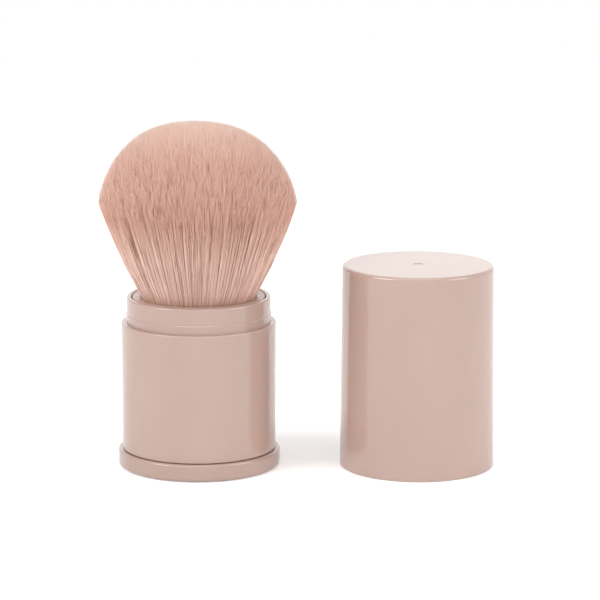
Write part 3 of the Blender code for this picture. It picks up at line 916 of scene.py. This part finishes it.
# The dye's first stops darken the fibres near the cup, partly as painted shade where the cup
# shades the roots
dye_and_root_shade = colour_ramp(tree, share_along, DYE_AND_ROOT_SHADE_STOPS)
batch = colour_ramp(tree, batch_shade, BATCH_STOPS)
streaked = colour_ramp(tree, share_along, STREAK_STOPS)
dyed_and_root_shaded = mixed_colour(tree, streaked, dye_and_root_shade, batch, blend_type="MULTIPLY")
place = add_node(tree, "ShaderNodeTexCoord").outputs["Object"]
level = add_node(tree, "ShaderNodeSeparateXYZ", {0: place}).outputs["Z"]
# Painted light on the crown's top, paler towards its highest point
crown_painted_light_share = remapped(tree, level, (0.0, CROWN_PAINTED_LIGHT_SHARE), (head_top - CROWN_PAINTED_LIGHT_DEPTH, head_top))
tone = mixed_colour(tree, crown_painted_light_share, dyed_and_root_shaded, CROWN_PAINTED_LIGHT)
silk = remapped(tree, batch_shade, FIBRE_ROUGHNESS)
tree.links.new(tone, shader.inputs["Base Color"])
tree.links.new(silk, shader.inputs["Roughness"])

random = np.random.default_rng(FIBRE_SEED)
spread, heading, tip = fibre_lines(random)
wisp, to_wisp = nearest_bunch(spread, heading, WISP_COUNT, random)
to_lock = nearest_bunch(spread, heading, LOCK_COUNT, random)[1]
shade = fibre_shades(wisp, random)
points = fibre_points(spread, heading, tip, to_wisp, to_lock, random)
spin = random.uniform(0, math.tau, FIBRE_COUNT)
tuft_width = math.tau / TUFT_COUNT
# The fibres are split by direction into tufts, one mesh each. In the real brush the sleeve's
# bore presses each tuft towards a cone from the cup's rim to the crown's top
for index in range(TUFT_COUNT):
    chosen = (heading // tuft_width).astype(int) == index
    name = f"bristle_tuft_{index + 1:02d}"
    mesh = fibre_mesh(name, points[chosen], spin[chosen], shade[chosen])
    tuft = bpy.data.objects.new(name, mesh)
    bpy.context.scene.collection.objects.link(tuft)
    dress(tuft, fibre, "handle", "bristles", "bristle_head")
    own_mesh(tuft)

# Casing: the sleeve's outer tube, moulded in nude plastic with a slight draught. The hand
# holds it, and a ledge inside its foot carries the neck tube, pressed in from above.
CASING_DRAUGHT = 0.00014
CASING_TOP_ROUND = 0.00035
CASING_TOP_RISE = 0.0001
CASING_FOOT_ROUND = 0.00025
CASING_FOOT_SINK = 0.0002
LEDGE_HEIGHT = 0.0012
RUNNING_GAP = 0.0003
PRESSED_GAP = 0.00004
CASING_INNER_ROUND = 0.00006
BEAD_STANDOUT = 0.0002

casing_low, casing_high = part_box("casing_sleeve")
casing_foot = casing_low.z - CASING_FOOT_SINK
casing_top = casing_high.z + CASING_TOP_RISE
casing_radius = casing_high.x
neck_radius = neck_high.x - BEAD_STANDOUT
keyway_radius = guide_radius + RUNNING_GAP
casing_bore = neck_radius + PRESSED_GAP
ledge_top = casing_low.z + LEDGE_HEIGHT
casing_corners = [
    (casing_radius, casing_top, CASING_TOP_ROUND),
    (casing_radius - CASING_DRAUGHT, casing_foot, CASING_FOOT_ROUND),
    (keyway_radius, casing_foot, FINE_ROUND),
    (keyway_radius, ledge_top, 0),
    (casing_bore, ledge_top, 0),
    (casing_bore, casing_top, CASING_INNER_ROUND),
]
outer_casing = turned_piece("outer_casing", casing_corners, round_headings())
dress(outer_casing, nude_plastic("casing_plastic"), "sleeve", "nude_plastic", "casing_sleeve")

# Neck tube: the sleeve's inner tube, moulded in nude plastic and pressed into the casing. Its
# bare neck takes the cap, which a low bead grips, and the keyed lip at its foot runs on the
# handle tube's ribs.
NECK_RIM_ROUND = 0.00045
NECK_WALL = 0.0012
LIP_HEIGHT = 0.0020
BEAD_LIFT = 0.0006
BEAD_HEIGHT = 0.0018
BEAD_RAMP = 0.0002
BEAD_FOOT_STANDOUT = 0.00004

neck_bore = neck_radius - NECK_WALL
lip_bore = handle_radius + RUNNING_GAP
lip_top = neck_low.z + LIP_HEIGHT
bead_bottom = casing_high.z + BEAD_LIFT
bead_top = bead_bottom + BEAD_HEIGHT
neck_corners = [
    (neck_radius, neck_high.z, NECK_RIM_ROUND),
    (neck_radius, bead_top, 0),
    (neck_radius + BEAD_STANDOUT, bead_top - BEAD_RAMP, 0),
    (neck_radius + BEAD_FOOT_STANDOUT, bead_bottom, 0),
    (neck_radius, neck_low.z, 0),
    (lip_bore, neck_low.z, 0, keyway_radius),
    (lip_bore, lip_top, 0, keyway_radius),
    (neck_bore, lip_top, 0),
    (neck_bore, neck_high.z, NECK_RIM_ROUND),
]
keyways = keyed_headings(lip_bore, keyway_radius, GUIDE_WIDTH + 2 * RUNNING_GAP)
neck_sleeve = turned_piece("neck_sleeve", neck_corners, keyways)
dress(neck_sleeve, nude_plastic("neck_plastic"), "sleeve", "nude_plastic", "neck_tube")

# Cap: one deep moulding in nude plastic, a little narrower at its top. The mark of its gate is
# a small dimple in the middle of its top, and a groove inside its mouth takes the neck's bead.
CAP_WALL = 0.0012
CAP_ROOF = 0.0012
CAP_DRAUGHT = 0.00045
CAP_TOP_ROUND = 0.0009
CAP_CORNER_ROUND = 0.0012
GATE_RADIUS = 0.0013
GATE_DEPTH = 0.00015
GATE_TINT = (0.56, 0.34, 0.24, 1.0)
GATE_TINT_SHARE = 0.6
GATE_TINT_FULL = 0.4 * GATE_RADIUS
GATE_TINT_END = 1.5 * GATE_RADIUS

cap_low, cap_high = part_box("cap")
cap_axis = (cap_low.x + cap_high.x) / 2
cap_mouth = (cap_high.x - cap_low.x) / 2
cap_bore = cap_mouth - CAP_WALL
cap_top_radius = cap_mouth - CAP_DRAUGHT
cap_height = cap_high.z
roof = cap_height - CAP_ROOF
cap_groove_bottom = BEAD_LIFT - FIT_GAP
cap_groove_top = BEAD_LIFT + BEAD_HEIGHT + FIT_GAP
cap_corners = [
    (0.0, cap_height - GATE_DEPTH, 0),
    (GATE_RADIUS - GATE_DEPTH, cap_height - GATE_DEPTH, FINE_ROUND),
    (GATE_RADIUS, cap_height, FINE_ROUND),
    (cap_top_radius, cap_height, CAP_TOP_ROUND),
    (cap_mouth, 0.0, FINE_ROUND),
    (cap_bore, 0.0, FINE_ROUND),
    (cap_bore, cap_groove_bottom, 0),
    (cap_bore + BEAD_STANDOUT, cap_groove_bottom + BEAD_RAMP, 0),
    (cap_bore + BEAD_STANDOUT, cap_groove_top - BEAD_RAMP, 0),
    (cap_bore, cap_groove_top, 0),
    (cap_top_radius - CAP_WALL, roof, CAP_CORNER_ROUND),
    (0.0, roof, 0),
]
lift_off_cap = turned_piece("lift_off_cap", cap_corners, round_headings(), cap_axis)
cap_plastic = nude_plastic("cap_plastic")
tree = cap_plastic.node_tree
shader = tree.nodes["Principled BSDF"]
plain_colour = shader.inputs["Base Color"].links[0].from_socket
place = add_node(tree, "ShaderNodeTexCoord").outputs["Object"]
off_gate = add_node(
    tree,
    "ShaderNodeVectorMath",
    {0: place, 1: (cap_axis, 0.0, cap_height)},
    operation="DISTANCE",
)
near_gate = remapped(
    tree,
    off_gate.outputs["Value"],
    (GATE_TINT_SHARE, 0.0),
    (GATE_TINT_FULL, GATE_TINT_END),
)
gated = mixed_colour(tree, near_gate, plain_colour, GATE_TINT)
tree.links.new(gated, shader.inputs["Base Color"])
dress(lift_off_cap, cap_plastic, "cap", "nude_plastic", "cap")
